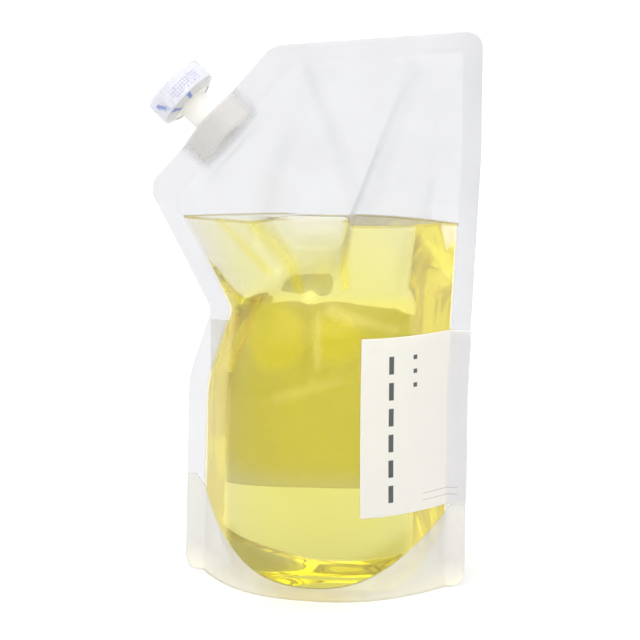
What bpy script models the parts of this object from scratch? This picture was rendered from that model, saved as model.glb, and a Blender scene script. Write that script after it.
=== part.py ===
"""Stand-up refill pouch for a kitchen cleaner, with a corner spout, a screw cap and a wrapped label.

Metres, +Z up. The pouch stands on z = 0, its seal plane is y = 0 and its front faces -Y.
The film is made as the real one is: a front and a back web and a folded bottom gusset,
heat-sealed along both sides, the top, the cut-off corner and the curved foot.
"""

import math

import bmesh
import bpy
from mathutils import Matrix, Vector

MM = 0.001

# Film and seals
FILM = 0.2 * MM  # one web of laminated film
SIDE_SEAL = 10.0 * MM
TOP_SEAL = 9.5 * MM
CORNER_SEAL = 15.0 * MM  # along the cut-off corner, a little deeper than the weld fitting
FOOT_SEAL = 7.0 * MM  # height of the foot below the gusset at its lowest
GUSSET_MIDDLE = 4.0 * MM  # the gusset sits a little towards the right
GUSSET_RISE = 52.0 * MM  # height of the gusset where it meets the side seals
GUSSET_SPREAD = 70.0 * MM  # distance from its middle at which the gusset reaches that height
GUSSET_POWER = 2.4
SEAL_OPENING = 0.15 * MM  # half the gap between the webs where they leave a seal

# Outline in the seal plane: how the filled pouch stands
FOOT_LEFT = -72.5 * MM
BELLY_LEFT = -69.5 * MM
BELLY_HEIGHT = 104.0 * MM
WAIST_LEFT = -57.0 * MM
WAIST_HEIGHT = 139.5 * MM
SHOULDER_LEFT = -90.0 * MM
FOOT_RIGHT = 75.6 * MM
HIP_HEIGHT = 100.0 * MM
SHOULDER_RIGHT = 81.3 * MM
SHOULDER_RIGHT_HEIGHT = 222.0 * MM
HEIGHT_AT_MIDDLE = 275.7 * MM
TOP_SLOPE = math.radians(4.3)  # the top edge falls towards the spout side
CORNER_DROP = 73.7 * MM  # the left shoulder below the top edge's middle
CORNER_ANGLE = math.radians(47.6)  # of the cut-off corner's edge, from level
SPOUT_ALONG = 47.7 * MM  # from the left shoulder up the cut-off corner to the spout's axis
FOOT_RADIUS = 8.0 * MM
SHOULDER_RADIUS = 10.0 * MM
CORNER_TOP_RADIUS = 9.0 * MM
TOP_RADIUS = 7.0 * MM
WAIST_RADIUS = 9.0 * MM
FLOW_RADIUS = 60.0 * MM  # soft bends in the side edges

# Half depths of the filled pouch on its middle line, as (height, depth)
FRONT_DEPTHS = (
    (0.0, 39.0 * MM),
    (45.0 * MM, 43.5 * MM),
    (90.0 * MM, 44.5 * MM),
    (135.0 * MM, 39.0 * MM),
    (187.0 * MM, 21.0 * MM),
    (225.0 * MM, 13.5 * MM),
    (252.0 * MM, 7.0 * MM),
    (266.0 * MM, 0.0),
)
BACK_DEPTHS = (
    (0.0, 39.0 * MM),
    (45.0 * MM, 42.0 * MM),
    (90.0 * MM, 42.5 * MM),
    (135.0 * MM, 38.0 * MM),
    (187.0 * MM, 26.0 * MM),
    (225.0 * MM, 15.5 * MM),
    (252.0 * MM, 7.5 * MM),
    (266.0 * MM, 0.0),
)
FULL_POWER, FLAT_POWER = 2.5, 2.0  # how full a section is, low down and near the top

# Above the waist the spout's side of the pouch is thinner than the other
LEAN_SHARE = 0.15
LEAN_START = 135.0 * MM
LEAN_RISE = 50.0 * MM
LEAN_RIGHT = 26.0 * MM
LEAN_WIDTH = 46.0 * MM

# Dent that runs up from the belly between the front web's folds: its edges as (height, x)
DENT_LEFT = ((150.0 * MM, -20.0 * MM), (187.0 * MM, -34.0 * MM), (262.0 * MM, -14.0 * MM))
DENT_RIGHT = ((150.0 * MM, 20.0 * MM), (189.0 * MM, 23.0 * MM), (262.0 * MM, 52.0 * MM))
DENT_SHARE = 0.8  # of the thickness there
DENT_START = 153.0 * MM
DENT_RISE = 36.0 * MM
DENT_SLOPE = 18.0 * MM  # width of its left wall
DENT_WALL = 15.0 * MM  # width of its right wall

# Pinched strip along the right seal above the label, and the crease from the waist
PINCH_START = (50.0 * MM, 150.0 * MM)
PINCH_SHARE = 0.55
PINCH_WIDTH = 14.0 * MM
PINCH_RISE = 16.0 * MM
CREASE_START = (-58.0 * MM, 141.0 * MM)
CREASE_END = (10.0 * MM, 180.0 * MM)
CREASE_SHARE = 0.16
CREASE_WIDTH = 13.0 * MM

# Contents
LIQUID_LEVEL = 187.0 * MM
LIQUID_CLEARANCE = 0.3 * MM
THINNEST = 0.4 * MM  # of the contents and the room for them, beside a seal
PAD_HALF_LENGTH = 34.0 * MM  # where the gusset is pressed flat on the table
PAD_SHARE = 0.5  # of the half depth

# Weld fitting and neck, along the spout's own axis from the film's edge
BOAT_HALF_LENGTH = 18.0 * MM
BOAT_HALF_WIDTH = 8.3 * MM
BOAT_DEPTH = 13.5 * MM
BOAT_RIB = 0.4 * MM  # how far the weld ribs stand out
BOAT_RIB_COUNT = 4
BOAT_RIB_HEIGHT = 1.5 * MM
BOAT_START = 0.5 * MM  # below the film's edge
WELD_CLEARANCE = 0.3 * MM
TIP_SHARE = 2.0  # a pointed end moves out by this much of a wall's thickness
MOUTH_REACH = 28.0 * MM  # how far the film's spout channel runs into the pouch
STEM_RADIUS = 7.8 * MM
BORE_RADIUS = 6.8 * MM
FLANGE_RADIUS = 11.0 * MM  # inside the sleeve's cone
FLANGE_HEIGHT = 11.4 * MM
FLANGE_THICKNESS = 1.1 * MM
THREAD_RADIUS = 10.6 * MM
THREAD_START = 14.0 * MM
NECK_TOP = 22.6 * MM

# Cap, liner and shrink sleeve
CAP_RADIUS = 16.3 * MM
CAP_BOTTOM = 13.9 * MM
CAP_PLATE = 1.1 * MM
CAP_WALL = 1.3 * MM
CAP_EDGE = 0.8 * MM
CAP_RIBS = 26
CAP_RIB_DEPTH = 0.35 * MM
RING_WALL = 1.4 * MM
RING_LIFT = 0.7 * MM  # the threaded ring ends this much above the skirt
THREAD_CLEARANCE = 0.5 * MM
LINER_THICKNESS = 0.9 * MM
SEAT = 0.3 * MM
SLEEVE_FILM = 0.2 * MM
SLEEVE_HEM = 4.6 * MM  # turned in over the cap's top
SLEEVE_MOUTH = 11.4 * MM
SLEEVE_BOTTOM = 11.3 * MM

# Label: one sheet, wrapped round the right side seal
LABEL_BOTTOM = 44.0 * MM
LABEL_TOP = 134.0 * MM
LABEL_FRONT = 29.5 * MM
LABEL_BACK = -58.0 * MM
LABEL_GAP = 0.3 * MM
LABEL_PAPER = 0.16 * MM

# Mesh
ROW_STEP = 11.4 * MM
COLUMNS = 14
ROOT_STEP = 1.2 * MM
FIN_STEP = 1.0 * MM
OUTSIDE = 130.0 * MM
BELOW = 20.0 * MM
ARC_STEPS = 6
TURN_STEPS = 32

PARTS = "kitchen_cleaner_refill_pouch"
CUTTERS = "cutters"


def clear_scene():
    for thing in list(bpy.data.objects):
        bpy.data.objects.remove(thing, do_unlink=True)
    for name in (PARTS, CUTTERS):
        old = bpy.data.collections.get(name)
        if old:
            bpy.data.collections.remove(old)
        bpy.context.scene.collection.children.link(bpy.data.collections.new(name))


def material(name, colour, roughness, alpha=1.0):
    made = bpy.data.materials.new(name)
    made.use_nodes = True
    shader = made.node_tree.nodes["Principled BSDF"]
    shader.inputs["Base Color"].default_value = (*colour, 1.0)
    shader.inputs["Roughness"].default_value = roughness
    shader.inputs["Alpha"].default_value = alpha
    return made


def add_object(name, mesh, collection):
    thing = bpy.data.objects.new(name, mesh)
    bpy.data.collections[collection].objects.link(thing)
    if collection == CUTTERS:
        thing.hide_render = True
        thing.display_type = "WIRE"
    return thing


def boolean(thing, operation, other):
    cut = thing.modifiers.new(f"{operation.lower()} {other.name}", "BOOLEAN")
    cut.operation = operation
    cut.solver = "EXACT"
    cut.object = other
    return cut


def smooth_step(value):
    value = min(1.0, max(0.0, value))
    return value * value * (3.0 - 2.0 * value)


def through(stations, at):
    """Smooth curve through (position, value) stations, level beyond its ends."""
    if at <= stations[0][0]:
        return stations[0][1]
    if at >= stations[-1][0]:
        return stations[-1][1]
    last = len(stations) - 1

    def slope(i):
        low, high = max(0, i - 1), min(last, i + 1)
        return (stations[high][1] - stations[low][1]) / (stations[high][0] - stations[low][0])

    i = max(k for k in range(last) if stations[k][0] <= at)
    (p0, v0), (p1, v1) = stations[i], stations[i + 1]
    span = p1 - p0
    f = (at - p0) / span
    return (
        v0 * (1 + 2 * f) * (1 - f) ** 2
        + slope(i) * span * f * (1 - f) ** 2
        + v1 * f * f * (3 - 2 * f)
        + slope(i + 1) * span * f * f * (f - 1)
    )


def between(chain, at):
    """Value at a position on a chain of (position, value) points, straight between them."""
    if at <= chain[0][0]:
        return chain[0][1]
    for (p0, v0), (p1, v1) in zip(chain, chain[1:]):
        if at <= p1:
            return v0 + (v1 - v0) * (at - p0) / max(p1 - p0, 1e-9)
    return chain[-1][1]


def crossing(point, direction, other, other_direction):
    """Where two lines in the seal plane cross."""
    det = direction[0] * other_direction[1] - direction[1] * other_direction[0]
    dx, dz = other[0] - point[0], other[1] - point[1]
    along = (dx * other_direction[1] - dz * other_direction[0]) / det
    return point[0] + along * direction[0], point[1] + along * direction[1]


CORNER_RUN = (math.cos(CORNER_ANGLE), math.sin(CORNER_ANGLE))
TOP_RUN = (math.cos(TOP_SLOPE), math.sin(TOP_SLOPE))
SHOULDER = (SHOULDER_LEFT, HEIGHT_AT_MIDDLE - CORNER_DROP)
SPOUT_FOOT = Vector(
    (SHOULDER[0] + SPOUT_ALONG * CORNER_RUN[0], 0.0, SHOULDER[1] + SPOUT_ALONG * CORNER_RUN[1])
)


def corners():
    """The outline's corners, as (x, z, radius, seal width of the edge that follows)."""
    top_left = crossing(SHOULDER, CORNER_RUN, (0.0, HEIGHT_AT_MIDDLE), TOP_RUN)
    top_right = HEIGHT_AT_MIDDLE + SHOULDER_RIGHT * math.tan(TOP_SLOPE)
    return [
        (FOOT_LEFT, 0.0, FOOT_RADIUS, SIDE_SEAL),
        (BELLY_LEFT, BELLY_HEIGHT, FLOW_RADIUS, SIDE_SEAL),
        (WAIST_LEFT, WAIST_HEIGHT, WAIST_RADIUS, SIDE_SEAL),
        (*SHOULDER, SHOULDER_RADIUS, CORNER_SEAL),
        (*top_left, CORNER_TOP_RADIUS, TOP_SEAL),
        (SHOULDER_RIGHT, top_right, TOP_RADIUS, SIDE_SEAL),
        (SHOULDER_RIGHT, SHOULDER_RIGHT_HEIGHT, FLOW_RADIUS, SIDE_SEAL),
        (FOOT_RIGHT, HIP_HEIGHT, FLOW_RADIUS, SIDE_SEAL),
        (FOOT_RIGHT, 0.0, FOOT_RADIUS, 0.0),
    ]


def moved(points, shifts):
    """The outline with each edge moved outwards by its shift, corners met again."""
    count = len(points)
    lines = []
    for i in range(count):
        (x0, z0), (x1, z1) = points[i][:2], points[(i + 1) % count][:2]
        length = math.hypot(x1 - x0, z1 - z0)
        run = ((x1 - x0) / length, (z1 - z0) / length)
        lines.append(((x0 - run[1] * shifts[i], z0 + run[0] * shifts[i]), run))
    result = []
    for i in range(count):
        (before, run_before), (after, run_after) = lines[i - 1], lines[i]
        result.append((*crossing(before, run_before, after, run_after), points[i][2]))
    return result


def rounded(points, sharp=()):
    """Outline points with an arc at every corner that isn't named as sharp."""
    result = []
    count = len(points)
    for i in range(count):
        x, z, radius = points[i][:3]
        here = Vector((x, z))
        if i in sharp or radius <= 0.0:
            result.append([here])
            continue
        back = Vector(points[i - 1][:2]) - here
        ahead = Vector(points[(i + 1) % count][:2]) - here
        half = back.angle(ahead) / 2
        reach = min(radius / math.tan(half), 0.45 * back.length, 0.45 * ahead.length)
        radius = reach * math.tan(half)
        centre = here + (back.normalized() + ahead.normalized()).normalized() * radius / math.sin(half)
        start = here + back.normalized() * reach - centre
        end = here + ahead.normalized() * reach - centre
        turn = start.angle_signed(end)
        arc = []
        for k in range(ARC_STEPS + 1):
            angle = -turn * k / ARC_STEPS
            c, s = math.cos(angle), math.sin(angle)
            arc.append(centre + Vector((start.x * c - start.y * s, start.x * s + start.y * c)))
        result.append(arc)
    return result


def root_chains():
    """Inner edges of the side seals, as (share of height, x) chains, and the top seal's line."""
    points = corners()
    root = moved(points, [-p[3] for p in points])
    arcs = rounded(root, sharp=(0, 4, 5, 8))
    (x0, z0), (x1, z1) = root[4][:2], root[5][:2]

    def top(x):
        return z0 + (z1 - z0) * (x - x0) / (x1 - x0)

    def chain(runs):
        flat = [p for arc in runs for p in arc]
        return [(p.y / top(p.x), p.x) for p in flat]

    left = chain(arcs[0:5])
    right = chain(reversed([list(reversed(arc)) for arc in arcs[5:9]]))
    return left, right, top


LEFT_ROOT, RIGHT_ROOT, top_root = root_chains()


def at_share(share, x):
    return share * top_root(x)


def root_left(share):
    return between(LEFT_ROOT, share)


def root_right(share):
    return between(RIGHT_ROOT, share)


def corner_frame(x, z):
    """Distances along the cut-off corner from the spout's axis, and inwards from its edge."""
    dx, dz = x - SPOUT_FOOT.x, z - SPOUT_FOOT.z
    return dx * CORNER_RUN[0] + dz * CORNER_RUN[1], dx * CORNER_RUN[1] - dz * CORNER_RUN[0]


def spout_bulge(x, z):
    """The webs stand apart behind the weld fitting."""
    along, inwards = corner_frame(x, z)
    width = max(0.0, 1.0 - (along / (1.45 * BOAT_HALF_LENGTH)) ** 2)
    rise = min(1.0, max(0.0, (inwards - CORNER_SEAL) / (0.6 * CORNER_SEAL)))
    fall = 1.0 - smooth_step((inwards - 2.0 * CORNER_SEAL) / (3.0 * CORNER_SEAL))
    return BOAT_HALF_WIDTH * width * rise * fall


def section(x, z, depths):
    """Half depth of the pouch at a point of the seal plane, before folds."""
    share = z / top_root(x)
    left, right = root_left(share), root_right(share)
    across = min(1.0, abs((2 * x - left - right) / (right - left)))
    upper = smooth_step((z - 0.5 * LIQUID_LEVEL) / (0.7 * LIQUID_LEVEL))
    power = FULL_POWER + (FLAT_POWER - FULL_POWER) * upper
    top = depths[-1][0]
    middle = through(depths, max(0.0, min(1.0, share)) * top)
    lean = LEAN_SHARE * smooth_step((z - LEAN_START) / LEAN_RISE) * smooth_step((LEAN_RIGHT - x) / LEAN_WIDTH)
    edge = smooth_step((1.0 - share) / 0.02)
    return middle * (1.0 - across**power) * (1.0 - lean) + spout_bulge(x, z) * (1.0 - across**8) * edge


def side_of(start, end, x, z):
    """Signed distance from a line, positive on its right-hand side."""
    run = Vector((end[0] - start[0], end[1] - start[1])).normalized()
    return (x - start[0]) * run.y - (z - start[1]) * run.x


def dent(x, z):
    """Share of the pouch's thickness by which the front web is pressed in."""
    left = smooth_step((x - between(DENT_LEFT, z)) / DENT_SLOPE)
    right = smooth_step((between(DENT_RIGHT, z) - x) / DENT_WALL)
    middle = left * right * smooth_step((z - DENT_START) / DENT_RISE)
    strip = smooth_step((x - PINCH_START[0]) / PINCH_WIDTH) * smooth_step((z - PINCH_START[1]) / PINCH_RISE)
    return max(DENT_SHARE * middle, PINCH_SHARE * strip)


def crease(x, z):
    """Share that the crease in from the waist takes away."""
    run = Vector((CREASE_END[0] - CREASE_START[0], CREASE_END[1] - CREASE_START[1]))
    offset = Vector((x - CREASE_START[0], z - CREASE_START[1]))
    along = offset.dot(run) / run.length_squared
    away = abs(side_of(CREASE_START, CREASE_END, x, z))
    return CREASE_SHARE * (1.0 - smooth_step(away / CREASE_WIDTH)) * smooth_step(1.3 - along)


def back_depth(x, z):
    return SEAL_OPENING + section(x, max(z, 0.0), BACK_DEPTHS)


def front_depth(x, z):
    front = section(x, max(z, 0.0), FRONT_DEPTHS) * (1.0 - crease(x, z))
    back = section(x, max(z, 0.0), BACK_DEPTHS)
    return SEAL_OPENING + (front + back) * (1.0 - dent(x, z)) - back


def offset_depth(depth, x, z, offset):
    """Half depth moved by an offset measured square to the web."""
    step = 0.5 * MM
    dx = (depth(x + step, z) - depth(x - step, z)) / (2 * step)
    dz = (depth(x, z + step) - depth(x, z - step)) / (2 * step)
    steep = min(2.2, math.sqrt(1.0 + dx * dx + dz * dz))
    return depth(x, z) + offset * steep


def grid_solid(name, front, back, collection):
    """Closed solid between two grids of points with the same rows and columns.

    Every cell is split the same way, so that solids with the same grid stay parallel.
    """
    bm = bmesh.new()
    grids = [[[bm.verts.new(p) for p in row] for row in grid] for grid in (front, back)]
    rows, columns = len(front), len(front[0])
    for side, grid in enumerate(grids):
        for j in range(rows - 1):
            for i in range(columns - 1):
                quad = [grid[j][i], grid[j][i + 1], grid[j + 1][i + 1], grid[j + 1][i]]
                for half in (quad[:3], [quad[2], quad[3], quad[0]]):
                    bm.faces.new(half if side == 0 else half[::-1])
    near, far = grids
    for j in range(rows - 1):
        bm.faces.new([near[j][0], near[j + 1][0], far[j + 1][0], far[j][0]])
        bm.faces.new([near[j][-1], far[j][-1], far[j + 1][-1], near[j + 1][-1]])
    for i in range(columns - 1):
        bm.faces.new([near[0][i], far[0][i], far[0][i + 1], near[0][i + 1]])
        bm.faces.new([near[-1][i], near[-1][i + 1], far[-1][i + 1], far[-1][i]])
    mesh = bpy.data.meshes.new(name)
    bm.to_mesh(mesh)
    bm.free()
    mesh.shade_smooth()
    mesh.set_sharp_from_angle(angle=math.radians(35))
    return add_object(name, mesh, collection)


def row_shares():
    """Shares of the height at which every loft has a row, with none at the table."""
    height = top_root(0.0)
    count = round(height / ROW_STEP)
    return [-BELOW / height, *[j / count for j in range(1, count + 1)]]


def web_loft(name, offset, collection, top_share=None, sealed=True):
    """The filled pouch's shape, moved by an offset square to its webs.

    With sealed, the seals' flat margins go on past the outline; without, it stops inside them.
    """
    shares = [s for s in row_shares() if top_share is None or s <= top_share]
    rows = [(s, False) for s in shares]
    if sealed and top_share is None:
        height = top_root(0.0)
        rows += [(1.0 + FIN_STEP / height, True), (1.0 + OUTSIDE / height, True)]
    fronts, backs = [], []
    for share, above in rows:
        left, right = root_left(min(share, 1.0)), root_right(min(share, 1.0))
        inner = [
            left + ROOT_STEP + (right - left - 2 * ROOT_STEP) * k / COLUMNS for k in range(COLUMNS + 1)
        ]
        places = [(x, "web") for x in inner]
        if sealed or offset >= 0.0:
            places = [(left, "root"), *places, (right, "root")]
        if sealed:
            places = [
                (-OUTSIDE, "fin"),
                (left - FIN_STEP, "fin"),
                *places,
                (right + FIN_STEP, "fin"),
                (OUTSIDE, "fin"),
            ]
        front, back = [], []
        for x, kind in places:
            z = at_share(share, x)
            if kind == "fin" or above:
                near = far = offset
            elif kind == "root" or share >= 1.0:
                near = far = SEAL_OPENING + offset
            else:
                near = offset_depth(front_depth, x, z, offset)
                far = max(offset_depth(back_depth, x, z, offset), THINNEST - near)
            front.append((x, -near, z))
            back.append((x, far, z))
        fronts.append(front)
        backs.append(back)
    return grid_solid(name, fronts, backs, collection)


def outline_prism(name, grow):
    """The outline as a thick plate, grown by a margin."""
    points = corners()
    flat = [p for arc in rounded(moved(points, [grow] * len(points))) for p in arc]
    curve = bpy.data.curves.new(name, "CURVE")
    curve.dimensions = "2D"
    curve.fill_mode = "BOTH"
    curve.extrude = OUTSIDE
    spline = curve.splines.new("POLY")
    spline.points.add(len(flat) - 1)
    for point, place in zip(spline.points, flat):
        point.co = (place.x, place.y, 0.0, 1.0)
    spline.use_cyclic_u = True
    return mesh_from_curve(name, curve, Matrix.Rotation(math.pi / 2, 4, "X"))


def mesh_from_curve(name, curve, place):
    """A closed mesh cutter from a filled flat curve."""
    source = bpy.data.objects.new(f"{name} curve", curve)
    bpy.context.scene.collection.objects.link(source)
    bpy.context.view_layer.update()
    mesh = bpy.data.meshes.new_from_object(source.evaluated_get(bpy.context.evaluated_depsgraph_get()))
    bpy.data.objects.remove(source, do_unlink=True)
    bpy.data.curves.remove(curve)
    bm = bmesh.new()
    bm.from_mesh(mesh)
    bmesh.ops.remove_doubles(bm, verts=bm.verts, dist=1e-6)
    bmesh.ops.dissolve_limit(bm, angle_limit=1e-4, verts=bm.verts, edges=bm.edges)
    bmesh.ops.recalc_face_normals(bm, faces=bm.faces)
    bm.to_mesh(mesh)
    bm.free()
    mesh.transform(place)
    return add_object(name, mesh, CUTTERS)


def gusset_height(x, spread):
    """Upper side of the gusset: spread is 0 at the middle fold and 1 at the front or back web."""
    away = abs(x - GUSSET_MIDDLE)
    rim = FOOT_SEAL + (GUSSET_RISE - FOOT_SEAL) * (away / GUSSET_SPREAD) ** GUSSET_POWER
    across = 1.0 - smooth_step((spread - PAD_SHARE) / (1.0 - PAD_SHARE))
    along = 1.0 - smooth_step((away - PAD_HALF_LENGTH) / (GUSSET_SPREAD - PAD_HALF_LENGTH))
    return rim - (rim - FILM) * across * along


def gusset_block(name, offset):
    """Everything below the gusset, its top moved by an offset."""
    inner = [-GUSSET_SPREAD + 2 * GUSSET_SPREAD * k / 14 for k in range(15)]
    aways = sorted({-OUTSIDE, *inner, -PAD_HALF_LENGTH, PAD_HALF_LENGTH, OUTSIDE})
    spreads = (-1.0, -0.83, -0.66, -PAD_SHARE, 0.0, PAD_SHARE, 0.66, 0.83, 1.0)
    top, bottom = [], []
    for away in aways:
        x = GUSSET_MIDDLE + away
        held = GUSSET_MIDDLE + min(GUSSET_SPREAD, max(-GUSSET_SPREAD, away))
        row = []
        for spread in (-2.0, *spreads, 2.0):
            depth = front_depth(0.9 * held, 0.0) if spread < 0 else back_depth(0.9 * held, 0.0)
            reach = max(depth, 8.0 * MM)
            y = spread * reach if abs(spread) <= 1.0 else math.copysign(OUTSIDE, spread)
            z = gusset_height(held, min(1.0, abs(spread)))
            steep = 1.0 + 0.5 * abs(held - GUSSET_MIDDLE) / GUSSET_SPREAD
            pressed = abs(spread) <= PAD_SHARE and abs(away) <= PAD_HALF_LENGTH
            lift = offset if offset >= 0.0 else (1.5 * offset if pressed else offset * steep)
            row.append((x, y, z + lift * (steep if offset > 0.0 else 1.0)))
        top.append(row)
        bottom.append([(px, py, -3 * BELOW) for px, py, _ in row])
    return grid_solid(name, bottom, top, CUTTERS)


def spout_place():
    return Matrix.Translation(SPOUT_FOOT) @ Matrix.Rotation(-CORNER_ANGLE, 4, "Y")


def canoe_outline(half_length, half_width):
    """Pointed oval of a weld fitting, as points round it."""
    count = 9
    upper = []
    for k in range(count):
        x = half_length * (1.0 - 2.0 * k / (count - 1))
        upper.append((x, half_width * (1.0 - (abs(x) / half_length) ** 2.0)))
    lower = [(x, -y) for x, y in reversed(upper[1:-1])]
    return [*upper, *lower]


def canoe_solid(name, levels, collection):
    """Stack of pointed ovals, as (height, half length, half width)."""
    bm = bmesh.new()
    loops = []
    for height, half_length, half_width in levels:
        outline = canoe_outline(half_length, half_width)
        loops.append([bm.verts.new((x, y, height)) for x, y in outline])
    for low, high in zip(loops, loops[1:]):
        for i in range(len(low)):
            k = (i + 1) % len(low)
            bm.faces.new([low[i], low[k], high[k], high[i]])
    bm.faces.new(loops[0][::-1])
    bm.faces.new(loops[-1])
    mesh = bpy.data.meshes.new(name)
    bm.to_mesh(mesh)
    bm.free()
    made = add_object(name, mesh, collection)
    made.matrix_world = spout_place()
    return made


def turned(name, profile, collection, steps=TURN_STEPS, closed=False):
    """Turned solid from a half profile that runs down its outer side."""
    bm = bmesh.new()
    points = [bm.verts.new((r, 0.0, z)) for r, z in profile]
    for a, b in zip(points, points[1:]):
        bm.edges.new((a, b))
    if closed:
        bm.edges.new((points[-1], points[0]))
    mesh = bpy.data.meshes.new(name)
    bm.to_mesh(mesh)
    bm.free()
    made = add_object(name, mesh, collection)
    screw = made.modifiers.new("turn", "SCREW")
    screw.axis = "Z"
    screw.angle = 2 * math.pi
    screw.steps = screw.render_steps = steps
    screw.use_merge_vertices = True
    screw.merge_threshold = 0.00001
    screw.use_smooth_shade = True
    made.matrix_world = spout_place()
    return made


def pouch_film():
    film = web_loft("pouch_film", FILM, PARTS)
    half_width = BOAT_HALF_WIDTH + BOAT_RIB + WELD_CLEARANCE
    half_length = BOAT_HALF_LENGTH + TIP_SHARE * (BOAT_RIB + WELD_CLEARANCE)
    outer = [
        (height, half_length + TIP_SHARE * FILM, half_width + FILM) for height in (-MOUTH_REACH, 3 * MM)
    ]
    inner = [(height, half_length, half_width) for height in (-MOUTH_REACH - 3 * MM, 6 * MM)]
    boolean(film, "UNION", canoe_solid("spout channel", outer, CUTTERS))
    boolean(film, "INTERSECT", outline_prism("pouch outline", 0.0))
    cavity = web_loft("cavity", 0.0, CUTTERS, sealed=False)
    boolean(cavity, "DIFFERENCE", gusset_block("below gusset", 0.0))
    boolean(film, "DIFFERENCE", cavity)
    boolean(film, "DIFFERENCE", canoe_solid("spout hole", inner, CUTTERS))
    skirt = web_loft("inside foot", -FILM, CUTTERS, 0.3, sealed=False)
    boolean(skirt, "INTERSECT", gusset_block("under gusset", -FILM))
    boolean(film, "DIFFERENCE", skirt)
    film.data.materials.append(material("pouch_film", (0.88, 0.89, 0.9), 0.35, 0.35))
    return film


def cleaner_liquid():
    liquid = web_loft("cleaner_liquid", -LIQUID_CLEARANCE, PARTS, 0.86, sealed=False)
    boolean(liquid, "DIFFERENCE", gusset_block("liquid bottom", LIQUID_CLEARANCE))
    bpy.ops.mesh.primitive_cube_add(size=1.0)
    above = bpy.context.active_object
    above.name = "above liquid"
    above.data.transform(Matrix.Diagonal((2 * OUTSIDE, 2 * OUTSIDE, 2 * OUTSIDE, 1.0)))
    above.data.transform(Matrix.Translation((0.0, 0.0, LIQUID_LEVEL + OUTSIDE)))
    for owner in list(above.users_collection):
        owner.objects.unlink(above)
    bpy.data.collections[CUTTERS].objects.link(above)
    above.hide_render = True
    above.display_type = "WIRE"
    boolean(liquid, "DIFFERENCE", above)
    liquid.data.materials.append(material("cleaner_liquid", (0.85, 0.8, 0.12), 0.05, 0.6))
    return liquid


def spout():
    levels = []
    pitch = (BOAT_DEPTH - BOAT_START) / BOAT_RIB_COUNT
    for k in range(BOAT_RIB_COUNT):
        low = -BOAT_DEPTH + k * pitch
        rib_low = low + 0.5 * (pitch - BOAT_RIB_HEIGHT)
        rib_high = rib_low + BOAT_RIB_HEIGHT
        plain = (BOAT_HALF_LENGTH, BOAT_HALF_WIDTH)
        proud = (BOAT_HALF_LENGTH + BOAT_RIB, BOAT_HALF_WIDTH + BOAT_RIB)
        levels += [(low, *plain), (rib_low, *plain), (rib_low + 0.2 * MM, *proud)]
        levels += [(rib_high - 0.2 * MM, *proud), (rib_high, *plain)]
    levels.append((-BOAT_START, BOAT_HALF_LENGTH, BOAT_HALF_WIDTH))
    fitting = canoe_solid("spout", levels, PARTS)
    root = -BOAT_DEPTH / 2
    profile = [
        (0.0, NECK_TOP),
        (THREAD_RADIUS - 0.6 * MM, NECK_TOP),
        (THREAD_RADIUS, NECK_TOP - 0.6 * MM),
        (THREAD_RADIUS, THREAD_START),
        (STEM_RADIUS, THREAD_START - 0.4 * (THREAD_RADIUS - STEM_RADIUS)),
        (STEM_RADIUS, FLANGE_HEIGHT + FLANGE_THICKNESS),
        (FLANGE_RADIUS, FLANGE_HEIGHT + FLANGE_THICKNESS - 0.2 * MM),
        (FLANGE_RADIUS, FLANGE_HEIGHT + 0.2 * MM),
        (STEM_RADIUS, FLANGE_HEIGHT - 0.2 * MM),
        (STEM_RADIUS, root),
        (0.0, root),
    ]
    boolean(fitting, "UNION", turned("neck", profile, CUTTERS))
    bore = [
        (0.0, NECK_TOP + 2 * MM),
        (BORE_RADIUS, NECK_TOP + 2 * MM),
        (BORE_RADIUS, -BOAT_DEPTH - 2 * MM),
        (0.0, -BOAT_DEPTH - 2 * MM),
    ]
    boolean(fitting, "DIFFERENCE", turned("bore", bore, CUTTERS))
    fitting.data.materials.append(material("spout", (0.86, 0.84, 0.78), 0.4))
    return fitting


LINER_BOTTOM = NECK_TOP + SEAT
CAP_CEILING = LINER_BOTTOM + LINER_THICKNESS + SEAT
CAP_TOP = CAP_CEILING + CAP_PLATE
RING_BORE = THREAD_RADIUS + THREAD_CLEARANCE


def cap():
    skirt = CAP_RADIUS - CAP_WALL
    ring = RING_BORE + RING_WALL
    hollow_top = CAP_CEILING - 0.3 * MM
    profile = [
        (0.0, CAP_TOP),
        (CAP_RADIUS - CAP_EDGE, CAP_TOP),
        (CAP_RADIUS - 0.3 * CAP_EDGE, CAP_TOP - 0.3 * CAP_EDGE),
        (CAP_RADIUS, CAP_TOP - CAP_EDGE),
        (CAP_RADIUS, CAP_BOTTOM),
        (skirt, CAP_BOTTOM),
        (skirt, hollow_top),
        (ring, hollow_top),
        (ring, CAP_BOTTOM + RING_LIFT),
        (RING_BORE, CAP_BOTTOM + RING_LIFT),
        (RING_BORE, CAP_CEILING),
        (0.0, CAP_CEILING),
    ]
    source = turned("cap profile", profile, CUTTERS, 2 * CAP_RIBS)
    bpy.context.view_layer.update()
    shape = source.evaluated_get(bpy.context.evaluated_depsgraph_get())
    mesh = bpy.data.meshes.new_from_object(shape)
    bpy.data.objects.remove(source, do_unlink=True)
    for vertex in mesh.vertices:
        radius = math.hypot(vertex.co.x, vertex.co.y)
        step = round(math.atan2(vertex.co.y, vertex.co.x) * CAP_RIBS / math.pi)
        if radius > CAP_RADIUS - 0.1 * MM and step % 2:
            vertex.co.x *= 1.0 - CAP_RIB_DEPTH / CAP_RADIUS
            vertex.co.y *= 1.0 - CAP_RIB_DEPTH / CAP_RADIUS
    mesh.name = "cap"
    mesh.set_sharp_from_angle(angle=math.radians(30))
    made = add_object("cap", mesh, PARTS)
    made.matrix_world = spout_place()
    mesh.materials.append(material("cap", (0.9, 0.9, 0.88), 0.35))
    return made


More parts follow.
